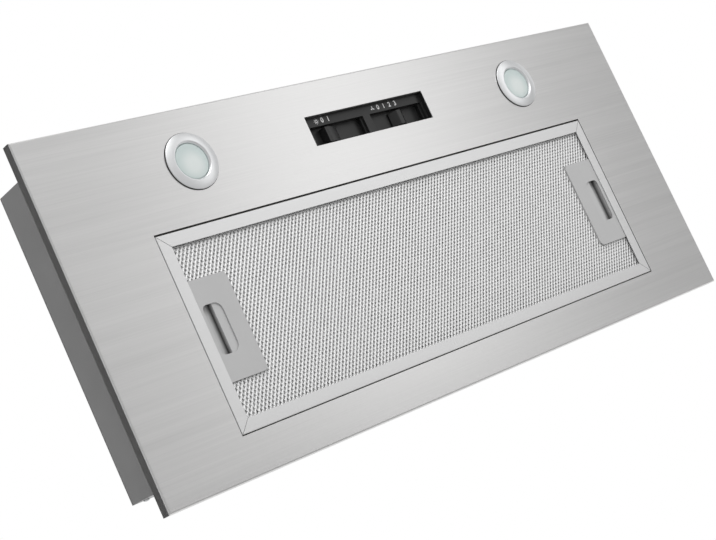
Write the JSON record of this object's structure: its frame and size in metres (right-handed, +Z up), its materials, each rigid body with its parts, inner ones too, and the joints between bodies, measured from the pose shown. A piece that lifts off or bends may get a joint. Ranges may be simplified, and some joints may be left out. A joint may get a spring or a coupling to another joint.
{
  "type": "range hood insert",
  "caption": "Built-in range hood insert: flat steel face with a drop-out mesh grease filter, round lamps and slide switches, low casing, blower chamber and round duct collar.",
  "frame": {"origin": "centre of the face, in the plane of the rim's upper edge, where the rim bears on the underside of the canopy", "axes": "+Z up as installed, +X along the long side, -Y towards the cook, where the switches and lamps are"},
  "size_m": [0.7, 0.293, 0.2471],
  "materials": {
    "brushed_steel": "brushed along the long edge, satin",
    "grey_steel": "coated grey sheet, satin",
    "zinc_steel": "zinc-plated, satin",
    "rail_aluminium": "satin anodised",
    "mesh_aluminium": "expanded metal, bright",
    "grey_plastic": "fine moulded",
    "lamp_chrome": "satin chrome",
    "frosted_lens": "frosted",
    "circuit_board": "solder mask",
    "white_plastic": "fine moulded",
    "black_plastic": "fine moulded",
    "charcoal_plastic": "fine moulded",
    "dark_steel": "stoved enamel",
    "bearing_bronze": "sintered"
  },
  "bodies": {
    "root": {"face_panel": "brushed_steel", "casing_front_wall": "grey_steel", "casing_rear_wall": "grey_steel", "casing_end_wall_left": "grey_steel", "casing_end_wall_right": "grey_steel", "casing_deck": "grey_steel", "filter_seat_frame": "grey_steel", "control_partition": "zinc_steel", "lamp_ring_left": "lamp_chrome", "lamp_ring_right": "lamp_chrome", "lamp_lens_left": "frosted_lens", "lamp_lens_right": "frosted_lens", "lamp_board_left": "circuit_board", "lamp_board_right": "circuit_board", "lamp_cup_left": "white_plastic", "lamp_cup_right": "white_plastic", "lamp_clip_left": "zinc_steel", "lamp_clip_right": "zinc_steel", "switch_bezel": "black_plastic", "switch_block": "black_plastic", "chamber_front_wall": "grey_steel", "chamber_rear_wall": "grey_steel", "chamber_side_left": "grey_steel", "chamber_side_right": "grey_steel", "chamber_lid": "grey_steel", "scroll_wrap": "zinc_steel", "scroll_side_left": "zinc_steel", "scroll_side_right": "zinc_steel", "motor_body": "dark_steel", "motor_bearing_left": "bearing_bronze", "motor_bearing_right": "bearing_bronze", "motor_bracket": "zinc_steel", "duct_collar": "black_plastic", "damper_pin": "zinc_steel", "terminal_box": "black_plastic", "terminal_box_lid": "black_plastic", "cable_gland": "black_plastic", "capacitor": "white_plastic", "capacitor_strap": "zinc_steel"},
    "filter": {"filter_rail_front": "rail_aluminium", "filter_rail_rear": "rail_aluminium", "filter_rail_left": "rail_aluminium", "filter_rail_right": "rail_aluminium", "filter_front_mesh": "mesh_aluminium", "filter_core": "mesh_aluminium", "filter_rear_mesh": "mesh_aluminium", "latch_cover_left": "grey_plastic", "latch_cover_right": "grey_plastic", "latch_tray_left": "grey_plastic", "latch_tray_right": "grey_plastic", "latch_spring_left": "zinc_steel", "latch_spring_right": "zinc_steel"},
    "latch_left": {"latch_slider_left": "grey_plastic"},
    "latch_right": {"latch_slider_right": "grey_plastic"},
    "light_switch": {"light_slider": "charcoal_plastic"},
    "fan_switch": {"fan_slider": "charcoal_plastic"},
    "wheel": {"blower_wheel": "dark_steel", "motor_shaft": "zinc_steel"},
    "flap_front": {"damper_flap_front": "rail_aluminium"},
    "flap_rear": {"damper_flap_rear": "rail_aluminium"}
  },
  "joints": [
    {"name": "filter_drop", "type": "slide", "parent": "root", "child": "filter", "axis": [0, 0, -1], "range_m": [0, 0.08]},
    {"name": "latch_left_pull", "type": "slide", "parent": "filter", "child": "latch_left", "axis": [1, 0, 0], "range_m": [0, 0.0055], "stiffness_N_per_m": 400, "springref_m": -0.004, "deforming": ["latch_spring_left"]},
    {"name": "latch_right_pull", "type": "slide", "parent": "filter", "child": "latch_right", "axis": [-1, 0, 0], "range_m": [0, 0.0055], "stiffness_N_per_m": 400, "springref_m": -0.004, "deforming": ["latch_spring_right"]},
    {"name": "light_switch_slide", "type": "slide", "parent": "root", "child": "light_switch", "axis": [1, 0, 0], "range_m": [0, 0.0073]},
    {"name": "fan_switch_slide", "type": "slide", "parent": "root", "child": "fan_switch", "axis": [1, 0, 0], "range_m": [-0.0219, 0]},
    {"name": "wheel_spin", "type": "hinge", "parent": "root", "child": "wheel", "pos_m": [0, 0.003, 0.105], "axis": [1, 0, 0], "continuous": true},
    {"name": "flap_front_lift", "type": "hinge", "parent": "root", "child": "flap_front", "pos_m": [0, 0.042, 0.2016], "axis": [-1, 0, 0], "range_deg": [0, 80]},
    {"name": "flap_rear_lift", "type": "hinge", "parent": "root", "child": "flap_rear", "pos_m": [0, 0.042, 0.2016], "axis": [1, 0, 0], "range_deg": [0, 80]}
  ]
}
